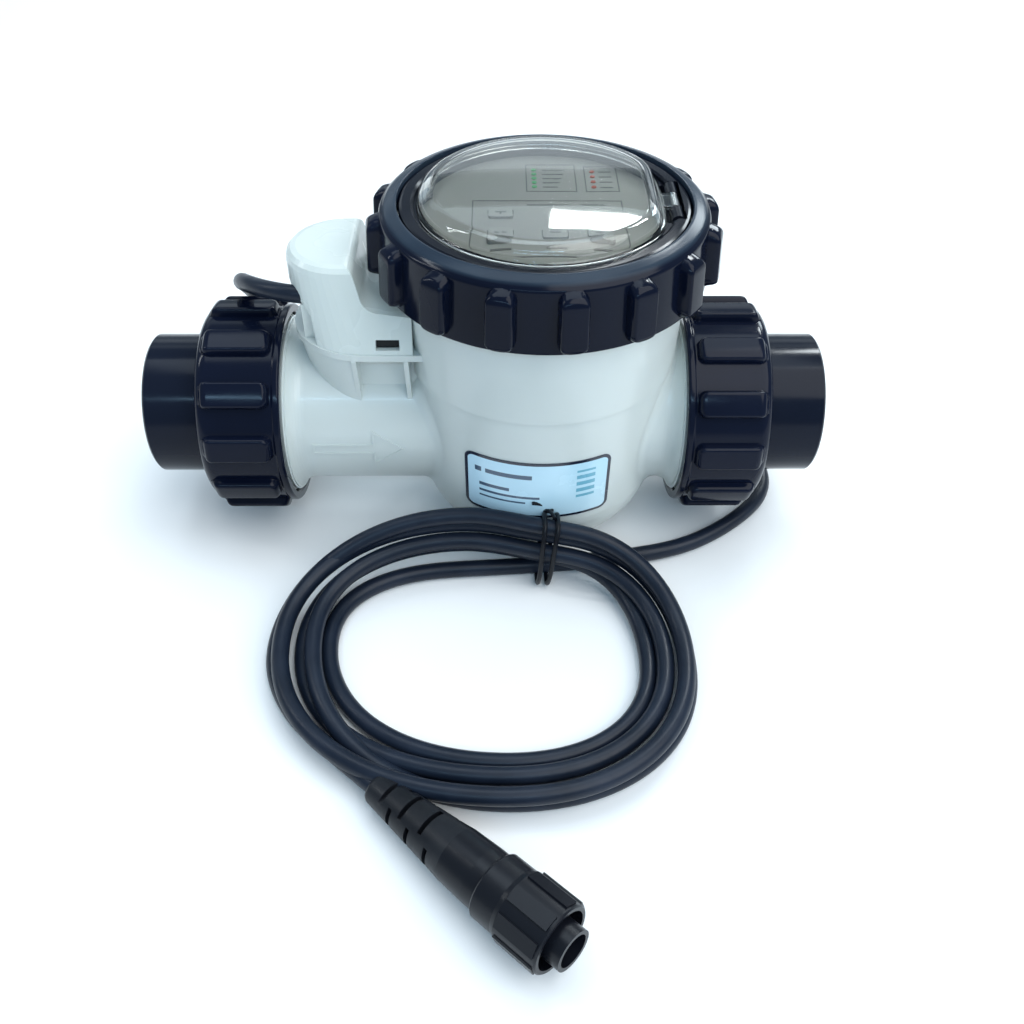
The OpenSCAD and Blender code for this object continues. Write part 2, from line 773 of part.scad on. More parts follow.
// Outer shape of the coiled cord: flat at the front, narrow and tall at the
// back, where its strands are tied together and lean on the vessel
module power_cord_coil() {
    inner_y = coil_outer_y - (bundle_width + coil_band + 6) / 2;
    color("#1c212b") intersection() {
        translate([coil_x, coil_y, 0]) linear_extrude(bundle_height)
            difference() {
                polygon(oval(coil_outer_x, coil_outer_y));
                translate([0, coil_outer_y - bundle_width - inner_y])
                    polygon(oval(coil_outer_x - coil_band, inner_y));
            }
        translate([coil_x - 150, 0, 0]) rotate([90, 0, 90]) linear_extrude(300)
            polygon([[coil_y - 80, -1], [coil_y - 80, coil_height],
                     [coil_y + coil_outer_y - bundle_width, bundle_height],
                     [coil_y + 90, bundle_height + 5], [coil_y + 90, -1]]);
    }
}

// Two wraps of tie round the bundle at the back of the coil
module cord_tie() {
    outside = coil_y + coil_outer_y - 2.4;
    height = bundle_height + 1.2;
    color("#0e0f12") for (x = [-1, 5]) translate([x, outside - (bundle_width + 4) / 2, height / 2])
        rotate([90, 0, 90]) linear_extrude(3) difference() {
            rounded_rect(bundle_width + 4, height, 5);
            rounded_rect(bundle_width + 1.6, height - 2.2, 4);
        }
}

// ---------- connector ----------

// Places a shape that stands along Z so that it lies along the connector axis
module along_plug() {
    translate([plug_x, plug_y, plug_z]) rotate([0, 90 - plug_rise, plug_angle]) children();
}

// Flexible boot with slots cut in turn from the sides and from top and bottom
module connector_boot() {
    slot_w = 2.2;
    color("#1d1e22") along_plug() difference() {
        rotate_extrude() polygon([
            [0, 0], [6.4, 0], [7, 1], [11.4, boot_len - 4], [12, boot_len], [0, boot_len]
        ]);
        for (i = [0 : 5]) rotate([0, 0, i % 2 * 90]) for (s = [-1, 1])
            translate([s > 0 ? 4.8 : -4.8 - 12, -6.5, 9 + i * 6]) cube([12, 13, slot_w]);
    }
}

module connector_body() {
    color("#191a1e") along_plug() difference() {
        rotate_extrude() polygon([
            [0, boot_len], [12, boot_len], [12.6, shell_len], [12.6, coupling_start - 0.3],
            [10.2, coupling_start - 0.3], [10.2, coupling_start + 4], [11.9, coupling_start + 4],
            [11.9, coupling_start + 8], [8.8, coupling_start + 8], [8.8, sleeve_end], [0, sleeve_end]
        ]);
        translate([0, 0, 88]) cylinder(h = 30, r = 7);
    }
}

module coupling_nut() {
    rib_start = coupling_start + 13;
    front = coupling_start + coupling_len;
    color("#17181c") along_plug() difference() {
        union() {
            rotate_extrude() polygon([
                [0, coupling_start], [13.6, coupling_start], [14.2, coupling_start + 0.8],
                [14.2, rib_start - 2], [14.7, rib_start],
                [14.7, front - 0.6], [14.1, front], [0, front]
            ]);
            for (i = [0 : 7]) rotate([0, 0, 45 * i + 12])
                translate([13.3, -3.2, rib_start + 0.6]) cube([1.9, 6.4, front - rib_start - 2]);
        }
        translate([0, 0, coupling_start - 1]) cylinder(h = 60, r = 10.5);
        translate([0, 0, coupling_start + 3.8]) cylinder(h = 60, r = 12.6);
    }
}

module connector_seal() {
    color("#3a3b40") along_plug() translate([0, 0, coupling_start + 9.4]) difference() {
        cylinder(h = 2, r = 11.2);
        translate([0, 0, -1]) cylinder(h = 4, r = 8.85);
    }
}

module contact_pins() {
    color("#c8a24a") along_plug() for (a = [0 : 90 : 270])
        rotate([0, 0, a]) translate([3.6, 0, 88]) cylinder(h = 10, r = 0.8, $fn = 24);
}

// ---------- assembly ----------

vessel();
label_plate();
anode_plates();
cathode_plates();
plate_spacers();
terminal_studs();
head_housing();
head_seal();
circuit_board();
board_components();
board_screws();
control_panel();
power_button();
boost_button();
less_button();
more_button();
output_lights();
status_lights();
lens_cover();
hinge_pin();
lock_ring();
slip_ring();
union_nut_left();
union_nut_right();
tailpiece_left();
tailpiece_right();
union_seal_left();
union_seal_right();
sensor_cover();
flow_switch_body();
flow_paddle();
paddle_pin();
sensor_seal();
temperature_probe();
cable_post();
sensor_screws();
power_cord_lead();
power_cord_coil();
cord_tie();
connector_boot();
connector_body();
coupling_nut();
connector_seal();
contact_pins();
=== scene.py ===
"""Looks for the salt chlorine generator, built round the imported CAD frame.

Objects are in metres in the frame's axes: X along the pipe from inlet to
outlet, Y away from the front, Z up. Outlines of the added pieces are written
in millimetres. The camera and the cord come first, then the materials, then
the added pieces.
"""
import math

import bmesh
import bpy
from mathutils import Matrix, Vector


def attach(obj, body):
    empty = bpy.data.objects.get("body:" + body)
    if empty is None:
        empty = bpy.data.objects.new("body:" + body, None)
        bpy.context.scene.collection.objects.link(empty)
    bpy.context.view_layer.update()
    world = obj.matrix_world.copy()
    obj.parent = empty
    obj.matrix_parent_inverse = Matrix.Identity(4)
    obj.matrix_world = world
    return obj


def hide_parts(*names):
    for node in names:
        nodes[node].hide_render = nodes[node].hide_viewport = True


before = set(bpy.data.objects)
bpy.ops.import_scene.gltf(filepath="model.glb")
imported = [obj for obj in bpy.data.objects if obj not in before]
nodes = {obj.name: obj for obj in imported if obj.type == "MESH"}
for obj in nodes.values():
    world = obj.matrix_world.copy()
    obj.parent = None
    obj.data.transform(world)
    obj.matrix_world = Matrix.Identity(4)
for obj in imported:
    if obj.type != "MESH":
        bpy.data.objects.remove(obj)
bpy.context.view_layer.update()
scene = bpy.context.scene
scene.view_settings.view_transform = "Standard"


# ---------- camera ----------

CAMERA_PLACE = (-0.01948, -0.43746, 0.39092)
CAMERA_TILT, CAMERA_TURN, CAMERA_ROLL = 0.751, 0.013, 0.007  # down, to the right, round its view, in radians
CAMERA_SENSOR, CAMERA_LENS = 36.0, 36.27  # millimetres


def add_camera():
    tilt, turn, roll = CAMERA_TILT, CAMERA_TURN, CAMERA_ROLL
    forward = Vector((math.sin(turn) * math.cos(tilt), math.cos(turn) * math.cos(tilt), -math.sin(tilt)))
    flat_right = Vector((math.cos(turn), -math.sin(turn), 0.0))
    flat_up = flat_right.cross(forward)
    right = flat_right * math.cos(roll) + flat_up * math.sin(roll)
    up = flat_up * math.cos(roll) - flat_right * math.sin(roll)
    camera = bpy.data.objects.new("camera", bpy.data.cameras.new("camera"))
    camera.data.sensor_width = CAMERA_SENSOR
    camera.data.lens = CAMERA_LENS
    camera.data.clip_start = 0.01
    rotation = Matrix((right, up, -forward)).transposed().to_4x4()
    camera.matrix_world = Matrix.Translation(CAMERA_PLACE) @ rotation
    scene.collection.objects.link(camera)
    scene.camera = camera


add_camera()


# ---------- cord ----------

CORD = 0.0085  # diameter
CORD_STEP = 0.004  # between points along it
CORD_EASING = 14  # rounds of smoothing

# The same route as in the CAD, in millimetres: out of the sensor tower, over
# and behind the inlet nut, along the table and forward under the outlet
LEAD_ROUTE = [
    (-98, -15, 134.5), (-106, -17, 136), (-114, -17.5, 137), (-124, -15, 137),
    (-134, -8, 135), (-142, 1, 132), (-148, 13, 127), (-152, 27, 118),
    (-153, 41, 108), (-152, 54, 94), (-150, 63, 77), (-147, 69, 60),
    (-143, 74, 43), (-137, 77, 28), (-128, 80, 16), (-116, 83, 8.5),
    (-102, 85, 4.9), (-86, 86, 4.3), (-68, 87, 4.3), (-50, 88, 4.3),
    (-32, 88, 4.3), (-14, 88, 4.3), (4, 88, 4.3), (22, 87, 4.3),
    (40, 85, 4.3), (58, 82, 4.3), (75, 77, 4.3), (91, 69, 4.3),
    (105, 59, 4.3), (116, 47, 4.3), (124, 33, 4.3), (129, 18, 4.3),
    (130, 2, 4.3), (125, -11, 4.3), (115, -23, 4.3), (101, -35, 4.3),
    (87, -45, 4.3), (72, -52, 4.3), (55, -56, 4.3), (38, -59, 4.3),
    (22, -61.5, 4.3),
]

# Where each turn of the coil lies: at the tie, just left of it, at the left,
# at the front and at the right
COIL_TURNS = [
    [(2, -63.5, 4.3), (-31, -66, 4.3), (-104, -112, 4.3), (-16, -184, 4.3), (50.5, -130, 4.3)],
    [(2, -65, 13), (-31, -58.5, 16.5), (-116, -115, 4.3), (-16, -193.5, 8.5), (58, -130, 9)],
    [(2, -71.5, 21), (-31, -64.3, 24.3), (-110, -115, 12.8), (-16, -203.5, 4.3), (69, -130, 4.3)],
    [(2, -66.8, 29.3), (-31, -58.6, 30.7), (-125, -119, 12.8), (-16, -206, 12.8), (67, -131, 12.8)],
    [(2, -70, 37), (-31, -61.2, 38.6), (-129, -117, 4.3)],
]
TO_PLUG = [(-128, -132, 4.3), (-121, -148, 4.3), (-110, -164, 5), (-94.5, -178.6, 7.4),
           (-80, -192.1, 9.2), (-72.6, -199, 9.8), (-66, -205.2, 10.5)]


def smooth_step(t):
    """Eased 0 to 1, level at both ends."""
    return t * t * (3 - 2 * t)


def quarter(a, b, start_flat, steps=7, power=0.84):
    """Points from a to b on a quarter of a rounded rectangle.

    start_flat is true where the path leaves a along X and arrives at b along Y.
    """
    out = []
    for i in range(1, steps + 1):
        t = i / steps
        near = math.sin(t * math.pi / 2) ** power
        far = math.cos(t * math.pi / 2) ** power if i < steps else 0.0
        z = a[2] + (b[2] - a[2]) * smooth_step(t)
        if start_flat:
            out.append((a[0] + (b[0] - a[0]) * near, b[1] + (a[1] - b[1]) * far, z))
        else:
            out.append((b[0] + (a[0] - b[0]) * far, a[1] + (b[1] - a[1]) * near, z))
    return out


def coil_route():
    """The turns one after another, each in four quarters, then the run to the plug."""
    route = [COIL_TURNS[0][0]]
    for k, turn in enumerate(COIL_TURNS):
        tie, beside, left = turn[:3]
        middle = tuple((tie[i] + beside[i]) / 2 for i in range(3))
        route += [middle, beside] + quarter(beside, left, True)
        if len(turn) == 5:
            front, right = turn[3:]
            route += quarter(left, front, False, power=0.92)
            route += quarter(front, right, True, power=0.92)
            route += quarter(right, COIL_TURNS[k + 1][0], False)
    return route + TO_PLUG


def even_steps(points, step):
    """The same line with points a fixed step apart."""
    out = [points[0]]
    left = step
    for a, b in zip(points, points[1:]):
        length = (b - a).length
        while left <= length:
            out.append(a.lerp(b, left / length))
            left += step
        left -= length
    out.append(points[-1])
    return out


def eased(points, rounds):
    """The line with its corners rounded off; its ends stay."""
    for _ in range(rounds):
        points = [points[0]] + [
            (points[i - 1] + points[i] * 2 + points[i + 1]) / 4 for i in range(1, len(points) - 1)
        ] + [points[-1]]
    return points


def curve_object(name, points, radius, closed=False, sides=5):
    """A round tube along the points. Its radius rides on the points, so that its box stays tight."""
    data = bpy.data.curves.new(name, "CURVE")
    data.dimensions = "3D"
    data.bevel_depth = 1.0
    data.bevel_resolution = sides
    data.use_fill_caps = True
    spline = data.splines.new("POLY")
    spline.points.add(len(points) - 1)
    for slot, point in zip(spline.points, points):
        slot.co = (point[0], point[1], point[2], 1)
        slot.radius = radius
    spline.use_cyclic_u = closed
    spline.use_smooth = True
    piece = bpy.data.objects.new(name, data)
    scene.collection.objects.link(piece)
    return piece


cord_line = eased(even_steps([Vector(p) / 1000 for p in LEAD_ROUTE + coil_route()], CORD_STEP), CORD_EASING)
cord = curve_object("supply_cord", cord_line, CORD / 2)
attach(cord, "body")
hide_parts("power_cord_lead", "power_cord_coil")


# ---------- materials ----------

class Shade:
    """A node material with one principled shader and a few helpers."""

    def __init__(self, name, color, rough, coat=0.0, metal=0.0, specular=0.5):
        self.material = bpy.data.materials.new(name)
        self.material.use_nodes = True
        self.tree = self.material.node_tree
        self.bsdf = next(n for n in self.tree.nodes if n.type == "BSDF_PRINCIPLED")
        self.bsdf.inputs["Base Color"].default_value = (*color, 1)
        self.bsdf.inputs["Roughness"].default_value = rough
        self.bsdf.inputs["Metallic"].default_value = metal
        self.bsdf.inputs["Specular IOR Level"].default_value = specular
        self.bsdf.inputs["Coat Weight"].default_value = coat
        self.bsdf.inputs["Coat Roughness"].default_value = 0.06
        self.coords = self.tree.nodes.new("ShaderNodeTexCoord").outputs["Object"]

    def link(self, a, b):
        self.tree.links.new(a, b)

    def put(self, value, socket):
        """Links an output to the socket, or sets the socket to a number or colour."""
        if hasattr(value, "links"):
            self.link(value, socket)
        elif isinstance(value, tuple):
            socket.default_value = (*value, 1) if len(value) == 3 and socket.type == "RGBA" else value
        else:
            socket.default_value = value

    def noise(self, scale, detail=3.0, distortion=0.0, stretch=None):
        node = self.tree.nodes.new("ShaderNodeTexNoise")
        node.inputs["Scale"].default_value = scale
        node.inputs["Detail"].default_value = detail
        node.inputs["Distortion"].default_value = distortion
        source = self.coords
        if stretch:
            mapping = self.tree.nodes.new("ShaderNodeMapping")
            mapping.inputs["Scale"].default_value = stretch
            self.link(source, mapping.inputs["Vector"])
            source = mapping.outputs["Vector"]
        self.link(source, node.inputs["Vector"])
        return node.outputs["Fac"]

    def ramp(self, value, low, high, a, b):
        """a at low and below, b at high and above, and even between them."""
        node = self.tree.nodes.new("ShaderNodeMapRange")
        node.clamp = True
        for name, number in (("From Min", low), ("From Max", high), ("To Min", a), ("To Max", b)):
            node.inputs[name].default_value = number
        self.link(value, node.inputs["Value"])
        return node.outputs["Result"]

    def mix(self, factor, a, b):
        node = self.tree.nodes.new("ShaderNodeMix")
        node.data_type = "RGBA"
        self.put(factor, node.inputs[0])
        self.put(a, node.inputs[6])
        self.put(b, node.inputs[7])
        return node.outputs[2]

    def math(self, kind, a, b=0.0):
        node = self.tree.nodes.new("ShaderNodeMath")
        node.operation = kind
        for value, socket in zip((a, b), node.inputs):
            self.put(value, socket)
        return node.outputs[0]

    def axes(self):
        """The point's x, y and z."""
        node = self.tree.nodes.new("ShaderNodeSeparateXYZ")
        self.link(self.coords, node.inputs[0])
        return node.outputs

    def color(self, value):
        self.put(value, self.bsdf.inputs["Base Color"])

    def rough(self, value):
        self.put(value, self.bsdf.inputs["Roughness"])

    def bump(self, height, strength, distance):
        node = self.tree.nodes.new("ShaderNodeBump")
        node.inputs["Strength"].default_value = strength
        node.inputs["Distance"].default_value = distance
        self.link(height, node.inputs["Height"])
        self.link(node.outputs["Normal"], self.bsdf.inputs["Normal"])

    def inside(self, value, low, high, soft):
        """1 where value lies between low and high, fading over soft."""
        rise = self.ramp(value, low - soft, low, 0.0, 1.0)
        fall = self.ramp(value, high, high + soft, 1.0, 0.0)
        return self.math("MULTIPLY", rise, fall)


def moulded(name, color, rough, grain=900.0, depth=0.00003, tone=0.05, coat=0.0, sub=0.0, specular=0.5):
    """Injection-moulded plastic: fine grain, faint flow marks and handling marks."""
    shade = Shade(name, color, rough, coat=coat, specular=specular)
    dark = tuple(c * (1 - tone) for c in color)
    light = tuple(c * (1 + tone * 0.6) for c in color)
    flow = shade.noise(9.0, 2.0)
    shade.color(shade.mix(shade.ramp(flow, 0.15, 0.85, 0.0, 1.0), dark, light))
    marks = shade.noise(38.0, 2.0)
    shade.rough(shade.ramp(marks, 0.1, 0.9, rough * 0.9, rough * 1.12))
    shade.bump(shade.noise(grain, 4.0), 0.35, depth)
    if sub:
        shade.bsdf.inputs["Subsurface Weight"].default_value = sub
        shade.bsdf.inputs["Subsurface Radius"].default_value = (0.004, 0.003, 0.002)
        shade.bsdf.inputs["Subsurface Scale"].default_value = 0.5
    return shade


def worn_metal(name, color, rough, stretch=(1, 1, 40)):
    """Metal with fine drawing marks and slight tarnish."""
    shade = Shade(name, color, rough, metal=1.0)
    streak = shade.noise(120.0, 5.0, 0.0, stretch)
    shade.rough(shade.ramp(streak, 0.3, 0.7, rough * 0.7, rough * 1.4))
    tarnish = shade.noise(30.0, 4.0)
    shade.color(shade.mix(shade.ramp(tarnish, 0.4, 0.8, 0.0, 0.6), color, tuple(c * 0.72 for c in color)))
    shade.bump(streak, 0.25, 0.00002)
    return shade


def soft_rubber(name, color, rough):
    """Matt rubber with a pale bloom and a fine skin."""
    shade = Shade(name, color, rough, specular=0.25)
    bloom = shade.noise(35.0, 5.0, 0.4)
    pale = tuple(c * 1.7 + 0.004 for c in color)
    shade.color(shade.mix(shade.ramp(bloom, 0.35, 0.8, 0.0, 1.0), color, pale))
    shade.rough(shade.ramp(shade.noise(160.0, 4.0), 0.3, 0.7, rough * 0.85, rough * 1.15))
    shade.bump(shade.noise(1800.0, 3.0), 0.3, 0.00004)
    return shade


def glossy_black(name, color, rough=0.1, satin_and_sheen_from=None):
    """Black moulded plastic with a slight orange peel and dulled handling marks.

    Above the height given by the last argument it is rougher, and its colour there is a painted reflection: a
    paler, finely mottled blue-grey that stands in for the light overhead on the top face.
    """
    shade = Shade(name, color, rough, specular=0.14)
    smudge = shade.noise(32.0, 2.0)
    gloss = shade.ramp(smudge, 0.15, 0.9, rough * 0.7, rough * 2.0)
    tone = shade.mix(shade.ramp(shade.noise(9.0, 3.0), 0.3, 0.7, 0.0, 1.0), color,
                     tuple(c * 1.6 + 0.002 for c in color))
    if satin_and_sheen_from:
        height = shade.axes()[2]
        satin_and_sheen = shade.ramp(height, satin_and_sheen_from, satin_and_sheen_from + 0.0012, 0.0, 1.0)
        sheen_mottle = shade.ramp(shade.noise(60.0, 4.0), 0.3, 0.7, 0.75, 1.0)
        # Painted reflection: above the height the colour turns a paler, mottled blue-grey standing in for the
        # overhead light; the next line only makes it rougher.
        tone = shade.mix(shade.math("MULTIPLY", satin_and_sheen, sheen_mottle), tone, (0.022, 0.035, 0.054))
        gloss = shade.math("MAXIMUM", gloss, shade.math("MULTIPLY", satin_and_sheen, 0.24))
    shade.rough(gloss)
    shade.color(tone)
    shade.bump(shade.noise(210.0, 2.0), 0.06, 0.00005)
    return shade


LABEL_MIDDLE = (-0.0022, 0.0553)  # across and up
LABEL_HALF = (0.0355, 0.0183)
LABEL_CORNER = 0.0045
LABEL_BORDER = 0.0016


def label_material():
    """Printed label: pale blue field, navy border and plain bars, with no lettering."""
    shade = Shade("label_print", (0.6, 0.75, 0.85), 0.22, coat=0.5)
    place = shade.axes()
    along = shade.math("ADD", place[0], -LABEL_MIDDLE[0])
    up = shade.math("ADD", place[2], -LABEL_MIDDLE[1])
    side = shade.math("SUBTRACT", shade.math("ABSOLUTE", along), LABEL_HALF[0] - LABEL_CORNER)
    rise = shade.math("SUBTRACT", shade.math("ABSOLUTE", up), LABEL_HALF[1] - LABEL_CORNER)
    corner = shade.math("SQRT", shade.math(
        "ADD", shade.math("POWER", shade.math("MAXIMUM", side, 0.0), 2.0),
        shade.math("POWER", shade.math("MAXIMUM", rise, 0.0), 2.0)))
    edge = shade.math("ADD", corner, shade.math("MINIMUM", shade.math("MAXIMUM", side, rise), 0.0))
    border_from = LABEL_CORNER - LABEL_BORDER
    border = shade.ramp(edge, border_from, border_from + 0.00015, 0.0, 1.0)
    sheen = shade.ramp(shade.noise(11.0, 2.0), 0.35, 0.65, 0.0, 1.0)
    fade = shade.ramp(along, -0.034, 0.034, 0.0, 1.0)
    field = shade.mix(fade, (0.55, 0.78, 0.92), (0.42, 0.68, 0.80))
    field = shade.mix(shade.math("MULTIPLY", sheen, 0.5), field, (0.66, 0.85, 0.95))
    soft = 0.00012
    # left, right, low and high edge of each bar, from the label's middle
    bars = [(-0.0305, -0.0275, 0.0075, 0.0105), (-0.0255, -0.0030, 0.0076, 0.0102),
            (-0.0285, -0.0140, -0.0016, 0.0004), (-0.0285, 0.0010, -0.0056, -0.0042),
            (-0.0285, -0.0060, -0.0090, -0.0080)]
    ink = None
    for left, right, low, high in bars:
        bar = shade.math("MULTIPLY", shade.inside(along, left, right, soft),
                         shade.inside(up, low, high, soft))
        ink = bar if ink is None else shade.math("MAXIMUM", ink, bar)
    field = shade.mix(ink, field, (0.05, 0.09, 0.15))
    band = shade.math("MULTIPLY", shade.inside(along, 0.019, 0.028, soft),
                      shade.inside(up, -0.006, 0.012, soft))
    stripes = shade.math("GREATER_THAN", shade.math("FRACT", shade.math("MULTIPLY", up, 230.0)), 0.45)
    field = shade.mix(shade.math("MULTIPLY", band, stripes), field, (0.16, 0.42, 0.55))
    shade.color(shade.mix(border, field, (0.006, 0.010, 0.03)))
    shade.rough(shade.ramp(shade.noise(70.0, 4.0), 0.3, 0.7, 0.16, 0.3))
    return shade.material


def clear_cover_material():
    """Clear moulded cover, slightly warm, with faint fine scratches."""
    shade = Shade("clear_cover", (0.93, 0.93, 0.89), 0.03)
    shade.bsdf.inputs["Transmission Weight"].default_value = 1.0
    shade.bsdf.inputs["IOR"].default_value = 1.49
    scratches = shade.noise(220.0, 8.0, 2.5, (1, 6, 1))
    shade.rough(shade.ramp(scratches, 0.55, 0.72, 0.02, 0.09))
    shade.color(shade.mix(shade.ramp(shade.noise(20.0, 2.0), 0.3, 0.7, 0.0, 1.0),
                          (0.93, 0.93, 0.88), (0.97, 0.97, 0.94)))
    shade.bump(shade.noise(40.0, 2.0), 0.05, 0.0001)
    return shade.material


def board_material():
    """Green circuit board with copper tracks under its varnish."""
    shade = Shade("circuit_board", (0.03, 0.16, 0.07), 0.3, coat=0.4)
    tracks = None
    for value, pitch in zip(shade.axes(), (310.0, 270.0)):
        line = shade.math("LESS_THAN", shade.math("FRACT", shade.math("MULTIPLY", value, pitch)), 0.16)
        tracks = line if tracks is None else shade.math("MAXIMUM", tracks, line)
    gate = shade.math("GREATER_THAN", shade.noise(90.0, 2.0), 0.52)
    shade.color(shade.mix(shade.math("MULTIPLY", tracks, gate), (0.025, 0.13, 0.06), (0.08, 0.3, 0.12)))
    shade.bump(tracks, 0.2, 0.00003)
    return shade.material


def components_material():
    """Dark component cases with a few lighter ones among them."""
    shade = Shade("board_parts", (0.03, 0.03, 0.035), 0.42)
    gate = shade.math("GREATER_THAN", shade.noise(55.0, 0.0), 0.56)
    shade.color(shade.mix(gate, (0.025, 0.025, 0.03), (0.12, 0.13, 0.16)))
    shade.rough(shade.ramp(shade.noise(300.0, 3.0), 0.3, 0.7, 0.34, 0.5))
    shade.bump(shade.noise(900.0, 2.0), 0.2, 0.00002)
    return shade.material


def paint(name, material):
    """Gives a CAD node its material."""
    mesh = nodes[name].data
    mesh.materials.clear()
    mesh.materials.append(material)


BODY = (0.60, 0.645, 0.625)
COVER = (0.60, 0.655, 0.63)
BLACK = (0.0018, 0.0035, 0.011)

body_plastic = moulded("body_plastic", BODY, 0.3, tone=0.02, coat=0.15, sub=0.06).material
cover_plastic = moulded("cover_plastic", COVER, 0.27, tone=0.02, coat=0.2, sub=0.06).material
sensor_plastic = moulded("sensor_plastic", (0.60, 0.64, 0.61), 0.38).material
panel_plastic = moulded("panel_plastic", (0.22, 0.222, 0.21), 0.42, grain=1500.0).material
button_plastic = moulded("button_plastic", (0.24, 0.245, 0.235), 0.36, grain=1500.0).material
comb_plastic = moulded("comb_plastic", (0.72, 0.72, 0.66), 0.45).material
slip_plastic = moulded("slip_plastic", (0.70, 0.69, 0.63), 0.35).material
black_plastic = glossy_black("black_plastic", BLACK).material
# The ring's top face carries a painted reflection, a paler blue-grey colour, and is rougher there.
ring_plastic = glossy_black("ring_plastic", BLACK, satin_and_sheen_from=0.1742).material
head_plastic = glossy_black("head_plastic", (0.004, 0.005, 0.009), 0.1).material
tail_plastic = glossy_black("tail_plastic", (0.003, 0.005, 0.012), 0.13).material
cord_rubber = soft_rubber("cord_rubber", (0.0055, 0.0095, 0.019), 0.36).material
seal_rubber = soft_rubber("seal_rubber", (0.012, 0.012, 0.012), 0.6).material
grey_seal = soft_rubber("grey_seal", (0.07, 0.07, 0.075), 0.6).material
boot_rubber = soft_rubber("boot_rubber", (0.006, 0.007, 0.010), 0.42).material
shell_plastic = moulded("shell_plastic", (0.006, 0.007, 0.011), 0.3, grain=1600.0, tone=0.2,
                        specular=0.24).material
tie_plastic = moulded("tie_plastic", (0.004, 0.005, 0.008), 0.3, tone=0.2, specular=0.2).material
steel = worn_metal("drawn_steel", (0.56, 0.56, 0.57), 0.3).material
bright_steel = worn_metal("screw_steel", (0.68, 0.68, 0.70), 0.22, (30, 30, 1)).material
coated_titanium = worn_metal("coated_titanium", (0.09, 0.09, 0.095), 0.6, (1, 1, 20)).material
bare_titanium = worn_metal("bare_titanium", (0.33, 0.33, 0.34), 0.42, (1, 1, 25)).material
contact_brass = worn_metal("contact_brass", (0.70, 0.52, 0.20), 0.2, (1, 1, 10)).material
clear_material = clear_cover_material()
green_lamp = moulded("green_lamp", (0.10, 0.42, 0.16), 0.2, sub=0.3).material
red_lamp = moulded("red_lamp", (0.45, 0.08, 0.04), 0.2, sub=0.3).material

for name, material in {
    "vessel": body_plastic, "label_plate": label_material(), "anode_plates": coated_titanium,
    "cathode_plates": bare_titanium, "plate_spacers": comb_plastic, "terminal_studs": bare_titanium,
    "head_housing": head_plastic, "head_seal": seal_rubber, "circuit_board": board_material(),
    "board_components": components_material(), "board_screws": bright_steel,
    "control_panel": panel_plastic, "power_button": button_plastic, "boost_button": button_plastic,
    "less_button": button_plastic, "more_button": button_plastic, "output_lights": green_lamp,
    "status_lights": red_lamp, "lens_cover": clear_material, "hinge_pin": bright_steel,
    "lock_ring": ring_plastic, "slip_ring": slip_plastic, "union_nut_left": black_plastic,
    "union_nut_right": black_plastic, "tailpiece_left": tail_plastic, "tailpiece_right": tail_plastic,
    "union_seal_left": seal_rubber, "union_seal_right": seal_rubber, "sensor_cover": cover_plastic,
    "flow_switch_body": sensor_plastic, "flow_paddle": sensor_plastic, "paddle_pin": steel,
    "sensor_seal": seal_rubber, "temperature_probe": steel, "cable_post": sensor_plastic,
    "sensor_screws": bright_steel, "connector_boot": boot_rubber, "connector_body": shell_plastic,
    "coupling_nut": shell_plastic, "connector_seal": grey_seal, "contact_pins": contact_brass,
}.items():
    paint(name, material)
cord.data.materials.append(cord_rubber)


# ---------- ribbed rings ----------

LUG_FLANK = 2.4  # how far a lug's rounded flank reaches in from its edge


def fine_steps(marks, step):
    """Marks with extra values between them, no further apart than step."""
    out = [marks[0]]
    for a, b in zip(marks, marks[1:]):
        count = max(1, math.ceil(abs(b - a) / step))
        out += [a + (b - a) * i / count for i in range(1, count + 1)]
    return out


def radius_at(points, value):
    """The radius of a rising (radius, height) profile at a height."""
    for (r0, z0), (r1, z1) in zip(points, points[1:]):
        if z0 <= value <= z1:
            return r0 + (r1 - r0) * (value - z0) / max(z1 - z0, 1e-9)
    return points[0][0] if value < points[0][1] else points[-1][0]


